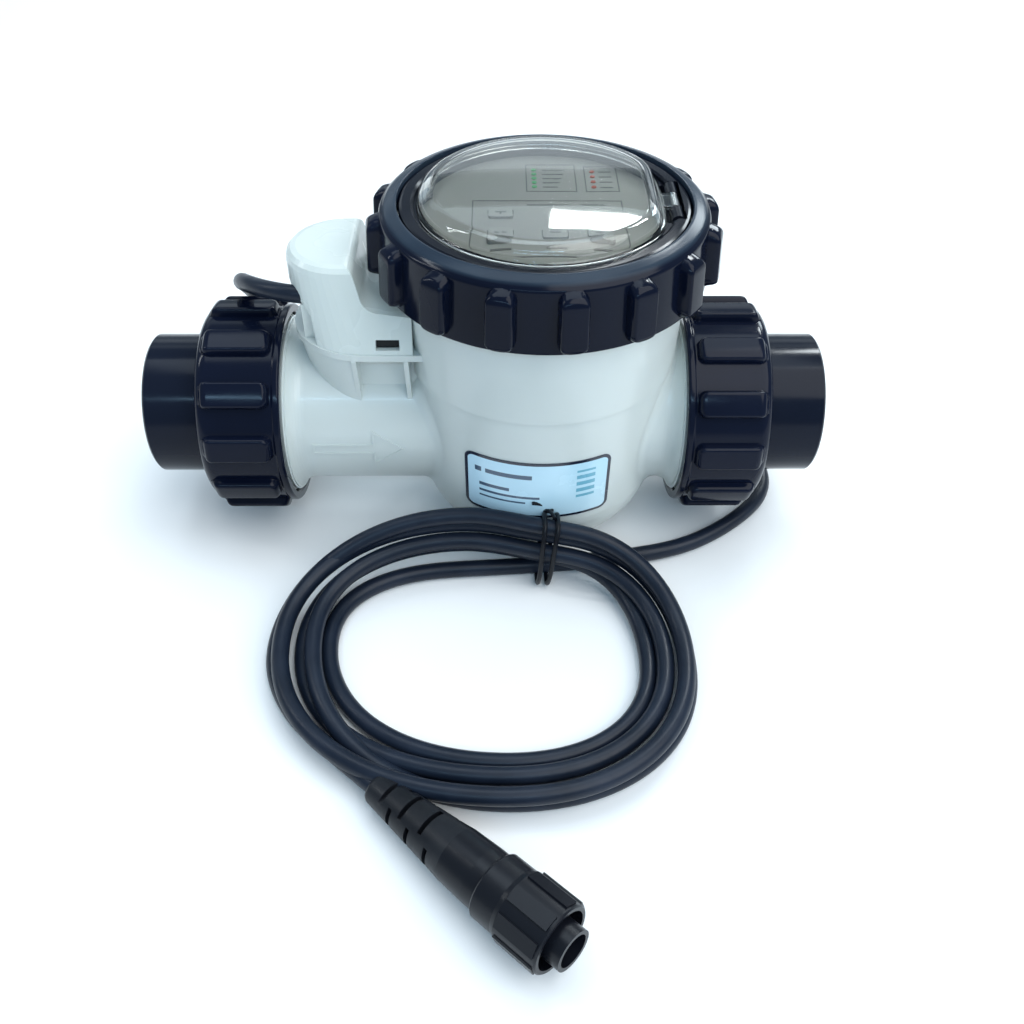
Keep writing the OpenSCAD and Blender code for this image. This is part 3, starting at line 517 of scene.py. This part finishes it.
def ribbed_ring(name, wall, inner, crest, lugs, phase, width, corner, low, high, place, material, body, node):
    """A turned ring whose outer wall carries rounded lugs, in millimetres.

    wall is the outer profile from bottom to top and inner the rest of the
    closed outline, both as (radius, height). crest is the profile over a lug,
    which is width wide, reaches from low to high and has rounded corners.
    """
    rows = [(radius_at(wall, z), z) for z in fine_steps(sorted({z for r, z in wall} | {low, high}), 0.55)]
    pitch = 360 / lugs
    half = math.radians(pitch / 2) * crest[len(crest) // 2][0]
    # Steps round half a pitch: coarse over the lug, fine at its flank, coarse to the next
    offsets = fine_steps([0, width / 2 - 3.0], 1.4) + fine_steps([width / 2 - 2.8, width / 2 + 0.6], 0.22) \
        + fine_steps([width / 2 + 1.2, half], 2.5)
    offsets = [-o for o in reversed(offsets[1:])] + offsets[:-1]
    mesh = bmesh.new()
    rings = []
    for k in range(lugs):
        for offset in offsets:
            angle = math.radians(phase + k * pitch) + offset / half * math.radians(pitch / 2)
            column = []
            for r, z in rows:
                du = abs(offset) - (width / 2 - corner)
                dv = abs(z - (low + high) / 2) - ((high - low) / 2 - corner)
                edge = math.hypot(max(du, 0), max(dv, 0)) + min(max(du, dv), 0) - corner
                t = min(1.0, max(0.0, -edge / LUG_FLANK))
                rise = math.sqrt(1 - (1 - t) ** 2.6)
                column.append((r + max(0.0, radius_at(crest, z) - r) * rise, z))
            column += inner
            rings.append([mesh.verts.new(place @ Vector((r * math.cos(angle), r * math.sin(angle), z)) / 1000)
                          for r, z in column])
    for a, b in zip(rings, rings[1:] + rings[:1]):
        for i in range(len(a)):
            j = (i + 1) % len(a)
            mesh.faces.new((a[i], b[i], b[j], a[j]))
    bmesh.ops.recalc_face_normals(mesh, faces=mesh.faces)
    piece = mesh_object(name, mesh, material, body)
    smooth(piece, 38)
    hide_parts(node)


def smooth(piece, degrees):
    """Smooth shading, kept sharp where faces meet at more than the angle."""
    mesh = piece.data
    mesh.shade_smooth()
    mesh.set_sharp_from_angle(angle=math.radians(degrees))


def round_edges(piece, width):
    bevel = piece.modifiers.new("rounded_edges", "BEVEL")
    bevel.width = width / 1000
    bevel.segments = 3
    bevel.limit_method = "ANGLE"
    bevel.angle_limit = math.radians(35)
    bevel.harden_normals = True


def mesh_object(name, mesh_data, material, body):
    """A piece from a bmesh, which rides on a body and takes its finish from a slot."""
    mesh = bpy.data.meshes.new(name)
    mesh_data.to_mesh(mesh)
    mesh_data.free()
    mesh.materials.append(material)
    piece = bpy.data.objects.new(name, mesh)
    scene.collection.objects.link(piece)
    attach(piece, body)
    return piece


def bow(cx, cy, r, a, b, n=6):
    """n + 1 points on an arc from angle a to angle b, in degrees."""
    return [(cx + r * math.cos(math.radians(a + (b - a) * i / n)),
             cy + r * math.sin(math.radians(a + (b - a) * i / n))) for i in range(n + 1)]


ribbed_ring(
    "lock_ring_ribbed",
    wall=[(76.3, 143.7)] + bow(76.2, 144.5, 0.8, -60, 0, 4) + [(75.3, 171.9)]
    + bow(72.8, 171.8, 2.5, 4, 62, 7) + [(72.4, 175.4), (68.4, 176.95)],
    inner=[(67.7, 177.15), (67.2, 177.0), (67.0, 176.5), (67.0, 168.5), (71.2, 168.5), (71.2, 144.5),
           (72.0, 143.7)],
    crest=[(77.4, 145.0)] + bow(79.0, 149.2, 3.4, -80, 0, 6) + [(81.4, 167.2)]
    + bow(75.6, 167.2, 5.8, 0, 84, 8),
    lugs=16, phase=-90 - 3.8 + 11.25, width=13.8, corner=5.6, low=145.2, high=173.2,
    place=Matrix.Identity(3), material=ring_plastic, body="lock_ring", node="lock_ring")

PIPE_Z = 62.0
NUT_WALL = [(50.3, -19.8)] + bow(49.9, -18.6, 1.2, -60, 0, 4) + [(51.1, -16.8), (50.5, -16.0), (50.5, 16.2)] \
    + bow(44.5, 16.2, 6, 6, 62, 8) + [(42.4, 22.1)]
NUT_INNER = [(41.5, 22.2), (36.7, 22.2), (35.9, 21.4), (35.9, 4.8), (46.4, 4.8), (46.4, -19.0), (47.2, -19.8)]
NUT_CREST = [(50.4, -15.3)] + bow(51.8, -12.3, 3.0, -80, 0, 6) + bow(50.8, 14.0, 4.0, 0, 80, 8)


def union_nut(name, side, face, phase, body, node):
    """A nut on the pipe's axis, face millimetres out to its side."""
    turn = Matrix(((0, 0, side), (0, 1, 0), (-side, 0, 0)))
    place = turn.to_4x4()
    place.translation = (side * face, 0, PIPE_Z)
    ribbed_ring(name, NUT_WALL, NUT_INNER, NUT_CREST, 12, phase, 14.2, 4.6, -15.2, 19.4, place,
                black_plastic, body, node)


union_nut("inlet_nut_ribbed", -1, 146.0, 10.5, "inlet_nut", "union_nut_left")
union_nut("outlet_nut_ribbed", 1, 90.0, -5.4, "outlet_nut", "union_nut_right")


# ---------- clear cover ----------

def lens_reach(radius, chord, angle):
    """Distance from the middle to a round outline cut straight at x = chord, its corners rounded."""
    c = math.cos(angle)
    if c < 0.2:
        return radius
    return (radius ** -30 + (chord / c) ** -30) ** (-1 / 30)


LENS_EDGE = 57.0  # radius of the outside where the wall meets the shoulder
LENS_SHOULDER = 6.0  # radius of the rounding from the wall to the top
LENS_TOP = 183.3  # height where the shoulder ends
LENS_DOME = 1.4  # rise from there to the middle
LENS_WALL = 2.0


def lens():
    """The clear cover: a domed cap with a foot, cut straight at the hinge side.

    Each level is a radius, the place of the straight cut, and a height.
    """
    outer = [(57.6, 53.4, 174.1), (58.1, 53.9, 174.4), (58.2, 54.0, 175.2), (58.0, 53.8, 175.85),
             (57.5, 52.6, 176.1), (57.05, 51.3, 176.5)]
    inner = [(55.3, 49.4, 174.1), (55.0, 49.0, 174.9)]
    for inset, levels in ((0.0, outer), (LENS_WALL, inner)):
        edge, top = LENS_EDGE - inset, LENS_TOP - inset
        flat = edge - LENS_SHOULDER
        for a in range(6, 91, 7):
            c, d = math.cos(math.radians(a)), math.sin(math.radians(a))
            levels.append((edge - LENS_SHOULDER * (1 - c), flat - 5 * (1 - c), top - LENS_SHOULDER * (1 - d)))
        for k in range(1, 10):
            t = 1 - k / 10
            levels.append((flat * t, (flat - 5) * t, top + LENS_DOME * (1 - t * t) ** 0.9))
    mesh = bmesh.new()
    columns = []
    steps = 160
    for i in range(steps):
        a = 2 * math.pi * i / steps
        columns.append([mesh.verts.new(Vector((math.cos(a) * lens_reach(r, chord, a),
                                               math.sin(a) * lens_reach(r, chord, a), z)) / 1000)
                        for r, chord, z in outer + inner[::-1]])
    peak = (LENS_TOP + LENS_DOME) / 1000
    top, under = mesh.verts.new((0, 0, peak)), mesh.verts.new((0, 0, peak - LENS_WALL / 1000))
    last = len(outer) - 1
    for a, b in zip(columns, columns[1:] + columns[:1]):
        for i in range(len(a)):
            j = (i + 1) % len(a)
            if i != last:
                mesh.faces.new((a[i], b[i], b[j], a[j]))
        mesh.faces.new((a[last], b[last], top))
        mesh.faces.new((b[last + 1], a[last + 1], under))
    bmesh.ops.recalc_face_normals(mesh, faces=mesh.faces)
    piece = mesh_object("clear_lens", mesh, clear_material, "lens_cover")
    smooth(piece, 62)
    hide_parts("lens_cover")


def lens_hinge_leaf():
    """Leaf and knuckle that carry the clear cover on its pin."""
    pin_x, pin_z = 58.8, 173.6
    profile = [(52.6, 174.2), (52.6, 176.0), (56.6, 176.0)] + bow(pin_x, pin_z, 3.0, 125, -90, 14) \
        + bow(pin_x, pin_z, 1.3, -90, 125, 10) + [(56.4, 174.2)]
    mesh = bmesh.new()
    sides = [[mesh.verts.new(Vector((x, y, z)) / 1000) for x, z in profile] for y in (-6.4, 6.4)]
    for i in range(len(profile)):
        j = (i + 1) % len(profile)
        mesh.faces.new((sides[0][i], sides[1][i], sides[1][j], sides[0][j]))
    for side in sides:
        mesh.faces.new(side)
    bmesh.ops.recalc_face_normals(mesh, faces=mesh.faces)
    piece = mesh_object("lens_hinge_leaf", mesh, clear_material, "lens_cover")
    smooth(piece, 40)
    round_edges(piece, 0.35)


lens()
lens_hinge_leaf()


# ---------- fillets between the necks and the body ----------

NECK_R = 38.8
FILLET = 7.0
# The vessel's outside as (radius, height), from the middle of the bottom up
BODY_PROFILE = [(25.3 + 36.7 * math.sin(math.radians(a)), 36.7 - 36.7 * math.cos(math.radians(a)))
                for a in range(0, 91, 3)] + [(65.6, 98.5), (67.7, 122.0), (67.7, 150.0)]


def body_radius(z):
    """The vessel's radius at height z."""
    for (r0, z0), (r1, z1) in zip(BODY_PROFILE, BODY_PROFILE[1:]):
        if z0 <= z <= z1:
            return r0 + (r1 - r0) * (z - z0) / (z1 - z0)
    return 0.0


def nearest_on_body(x, y, z):
    """Distance to the body's surface and the nearest point on it."""
    rho = math.hypot(x, y)
    best = None
    for (r0, z0), (r1, z1) in zip(BODY_PROFILE, BODY_PROFILE[1:]):
        dr, dz = r1 - r0, z1 - z0
        t = min(1.0, max(0.0, ((rho - r0) * dr + (z - z0) * dz) / (dr * dr + dz * dz)))
        r, h = r0 + t * dr, z0 + t * dz
        gap = math.hypot(rho - r, z - h)
        if best is None or gap < best[0]:
            best = (gap, Vector((x / rho * r, y / rho * r, h)))
    return best


def neck_fillet(name, side):
    """The strip that a ball touching both the neck and the vessel leaves between them."""
    mesh = bmesh.new()
    loops = []
    steps = 120
    for i in range(steps):
        a = 2 * math.pi * i / steps
        y, z = (NECK_R + FILLET) * math.cos(a), PIPE_Z + (NECK_R + FILLET) * math.sin(a)
        # Halve the gap between a place inside the vessel and one clear of it
        near, far = 20.0, 110.0
        for _ in range(30):
            x = (near + far) / 2
            if math.hypot(x, y) < body_radius(z) or nearest_on_body(x, y, z)[0] < FILLET:
                near = x
            else:
                far = x
        centre = Vector((side * x, y, z))
        on_body = nearest_on_body(side * x, y, z)[1]
        on_neck = Vector((side * x, NECK_R * math.cos(a), PIPE_Z + NECK_R * math.sin(a)))
        out_a, out_b = (on_neck - centre).normalized(), (on_body - centre).normalized()
        arc = [centre + out_a.slerp(out_b, k / 8) * FILLET for k in range(9)]
        middle = (out_a + out_b).normalized()
        arc.append(centre + middle * (FILLET / max(0.6, middle.dot(out_a)) + 0.6))
        loops.append([mesh.verts.new(p / 1000) for p in arc])
    for a, b in zip(loops, loops[1:] + loops[:1]):
        for i in range(len(a)):
            j = (i + 1) % len(a)
            mesh.faces.new((a[i], b[i], b[j], a[j]))
    bmesh.ops.recalc_face_normals(mesh, faces=mesh.faces)
    smooth(mesh_object(name, mesh, body_plastic, "body"), 60)


neck_fillet("inlet_neck_fillet", -1)
neck_fillet("outlet_neck_fillet", 1)


# ---------- added pieces ----------

def tower_shade_block():
    """A dark block in the sensor tower: painted shade that stands in for the shadow inside the tower, and for
    its dark wiring, seen through the slot and the opening.
    """
    middle = -84
    outline = bow(middle, 0, 32.6, 129, 90, 8) + [(-65, 32.4), (-63.6, 31)]
    outline += [(x, -y) for x, y in reversed(outline)]
    mesh = bmesh.new()
    rows = []
    # Each level: its size against the outline, its height, and how far right it may reach under the cover
    for size, z, right in ((1.0, 118.6, -63), (0.92, 128.0, -63), (0.88, 130.0, -70), (0.86, 131.5, -82),
                           (0.8, 138.5, -88), (0.76, 139.3, -89), (0.4, 139.5, -90)):
        rows.append([mesh.verts.new(Vector((min(right, middle + (x - middle) * size), y * size, z)) / 1000)
                     for x, y in outline])
    for a, b in zip(rows, rows[1:]):
        for i in range(len(a)):
            j = (i + 1) % len(a)
            mesh.faces.new((a[i], a[j], b[j], b[i]))
    mesh.faces.new(rows[0])
    mesh.faces.new(rows[-1])
    bmesh.ops.recalc_face_normals(mesh, faces=mesh.faces)
    smooth(mesh_object("tower_shade_block", mesh, seal_rubber, "body"), 40)


tower_shade_block()


def tie_wrap(name, x, lean, low, high, near, far, radius):
    """One turn of tie round the bundle, a rounded upright loop, in millimetres."""
    points = []
    steps = 40
    for i in range(steps):
        a = 2 * math.pi * i / steps
        c, s = math.cos(a), math.sin(a)
        y = (near + far) / 2 + (near - far) / 2 * math.copysign(abs(c) ** 0.6, c)
        z = (low + high) / 2 + (high - low) / 2 * math.copysign(abs(s) ** 0.75, s)
        points.append(Vector((x + lean * s, y, z)) / 1000)
    return curve_object(name, points, radius / 1000, closed=True, sides=3)


PANEL_FACE = 170.2  # height of the control panel's face, in millimetres
BUTTON_FACE = 171.2
ink_plastic = moulded("panel_ink", (0.05, 0.05, 0.048), 0.5).material


def add_bar(mesh, x0, y0, x1, y1, z, thick=0.0001):
    """A thin printed bar lying flat, in millimetres; only thick is in metres."""
    box = bmesh.ops.create_cube(mesh, size=1.0)["verts"]
    for v in box:
        v.co.x = (x0 + x1) / 2000 + v.co.x * (x1 - x0) / 1000
        v.co.y = (y0 + y1) / 2000 + v.co.y * (y1 - y0) / 1000
        v.co.z = z / 1000 + thick / 2 + v.co.z * thick


def add_frame(mesh, x0, y0, x1, y1, z, line=0.55):
    """A printed outline of four bars, in millimetres."""
    add_bar(mesh, x0, y0, x1, y0 + line, z)
    add_bar(mesh, x0, y1 - line, x1, y1, z)
    add_bar(mesh, x0, y0 + line, x0 + line, y1 - line, z)
    add_bar(mesh, x1 - line, y0 + line, x1, y1 - line, z)


def panel_print():
    """Plain outlines and marks printed on the control panel."""
    z = PANEL_FACE
    mesh = bmesh.new()
    add_frame(mesh, -8, 17, 16, 46, z)
    add_frame(mesh, 20, 17, 36, 44, z)
    add_frame(mesh, -33, -38, 36, 8, z)
    for i in range(5):
        add_bar(mesh, 0, 39.4 - 4.5 * i, 11 - i, 40.2 - 4.5 * i, z)
    for i in range(4):
        add_bar(mesh, 27, 37.4 - 5.5 * i, 33, 38.2 - 5.5 * i, z)
    for x, y, w in ((-24, -33, 9), (0, -33, 9), (20, -33, 9), (-8, 3, 20), (16, 3, 12)):
        add_bar(mesh, x, y, x + w, y + 1.1, z)
    mesh_object("panel_print", mesh, ink_plastic, "head")


def button_mark(name, button, bars):
    """A plain mark on a button, which moves with it."""
    mesh = bmesh.new()
    for x0, y0, x1, y1 in bars:
        add_bar(mesh, x0, y0, x1, y1, BUTTON_FACE)
    mesh_object(name, mesh, ink_plastic, button)


panel_print()
button_mark("power_mark", "power_button", [(-22.5, -5.4, -17.5, -4.6), (-20.4, -7.4, -19.6, -5.4)])
button_mark("boost_mark", "boost_button", [(-22.6, -24.4, -20.6, -23.6), (-19.4, -24.4, -17.4, -23.6)])
button_mark("less_mark", "less_button", [(1.8, -24.4, 6.2, -23.6)])
button_mark("more_mark", "more_button", [(21.8, -24.4, 26.2, -23.6), (23.6, -26.2, 24.4, -24.4),
                                         (23.6, -23.6, 24.4, -21.8)])

tie_front = tie_wrap("tie_wrap_front", 0.0, 1.6, 1.2, 41.9, -59.6, -78.5, 1.2)
tie_back = tie_wrap("tie_wrap_back", 5.6, 2.4, 1.2, 41.9, -60.0, -79.0, 1.2)
for piece in (tie_front, tie_back):
    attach(piece, "body")
    piece.data.materials.append(tie_plastic)
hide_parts("cord_tie")


def tie_tail(name, points, radius):
    """A loose end or crossing of the tie along points in millimetres."""
    line = eased(even_steps([Vector(p) / 1000 for p in points], 0.001), 6)
    tail = curve_object(name, line, radius / 1000, sides=3)
    tail.data.materials.append(tie_plastic)
    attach(tail, "body")
    return tail


tie_knot = tie_tail("tie_knot", [(1, -62.5, 41.2), (3, -61, 42.6), (5.5, -61.5, 41.8), (6, -63.5, 42.4),
                                 (3.5, -64.5, 42.9), (1.5, -63, 42.2), (2.5, -61, 41.6)], 1.0)
tie_tail_long = tie_tail("tie_tail_long", [(4, -62, 42.2), (2, -61.5, 44), (-1, -62.5, 46.5),
                                           (-4.5, -64, 48)], 0.9)
tie_tail_short = tie_tail("tie_tail_short", [(3.5, -63, 42.3), (5, -66, 43.6), (6.5, -70, 43.4)], 0.9)


# ---------- floor and lights ----------

def floor_plane():
    mesh = bmesh.new()
    bmesh.ops.create_grid(mesh, x_segments=2, y_segments=2, size=9.0)
    data = bpy.data.meshes.new("floor")
    mesh.to_mesh(data)
    mesh.free()
    shade = Shade("floor_paint", (0.86, 0.86, 0.86), 0.6)
    cloud = shade.ramp(shade.noise(3.0, 3.0), 0.3, 0.7, 0.0, 1.0)
    shade.color(shade.mix(cloud, (0.85, 0.85, 0.85), (0.88, 0.88, 0.88)))
    data.materials.append(shade.material)
    piece = bpy.data.objects.new("floor", data)
    scene.collection.objects.link(piece)


def area_light(name, place, target, width, height, power, tint):
    """A flat light that faces its target and stays out of the picture."""
    data = bpy.data.lights.new(name, "AREA")
    data.shape = "RECTANGLE"
    data.size = width
    data.size_y = height
    data.energy = power
    data.color = tint
    lamp = bpy.data.objects.new(name, data)
    lamp.location = place
    lamp.visible_camera = False
    aim = Vector(target) - Vector(place)
    lamp.rotation_euler = aim.to_track_quat("-Z", "Y").to_euler()
    scene.collection.objects.link(lamp)
    return lamp


floor_plane()
world = bpy.data.worlds.new("studio")
world.use_nodes = True
world.node_tree.nodes["Background"].inputs["Color"].default_value = (0.66, 0.85, 1.0, 1)
world.node_tree.nodes["Background"].inputs["Strength"].default_value = 0.41
scene.world = world

sky = bpy.data.lights.new("sky", "SUN")
sky.energy = 2.15
sky.angle = math.radians(56)
sky.color = (0.965, 0.985, 0.985)
sky_lamp = bpy.data.objects.new("sky", sky)
sky_lamp.rotation_euler = Vector((-0.60, 0.36, -1.0)).to_track_quat("-Z", "Y").to_euler()
scene.collection.objects.link(sky_lamp)

area_light("window", (0.19, 1.25, 0.98), (0, 0, 0.12), 0.24, 0.09, 1.5, (0.92, 0.97, 1.0))
area_light("side_window", (0.80, 1.05, 0.72), (0.05, 0, 0.12), 0.34, 0.34, 5.0, (0.85, 0.95, 1.0))
area_light("overhead", (-0.05, 0.25, 1.25), (0, 0, 0.15), 1.1, 0.6, 6.5, (0.78, 0.90, 1.0))
area_light("back_wall", (0.0, 1.8, 0.72), (0, 0, 0.15), 3.0, 0.42, 3.0, (0.84, 0.93, 1.0))
area_light("back_sky", (-0.1, 1.5, 1.2), (0, 0, 0.17), 2.4, 0.28, 1.5, (0.78, 0.91, 1.0))
right_fill = area_light("right_fill", (0.75, -0.85, 0.4), (0.02, 0, 0.08), 0.6, 0.5, 2.6, (0.85, 0.93, 1.0))
right_fill.visible_glossy = False
ring_glint = area_light("ring_glint", (0.576, 0.783, 1.04), (0.065, -0.037, 0.175), 0.2, 0.2, 5.5,
                        (0.9, 0.97, 1.0))
ring_glint.visible_diffuse = False
area_light("left_strip", (-0.85, 0.10, 0.75), (-0.1, 0, 0.08), 0.05, 0.5, 1.6, (0.92, 0.97, 1.0))
area_light("front_strip", (-0.15, -1.1, 1.0), (0, -0.05, 0.06), 1.0, 0.05, 3.4, (0.42, 0.72, 1.0))
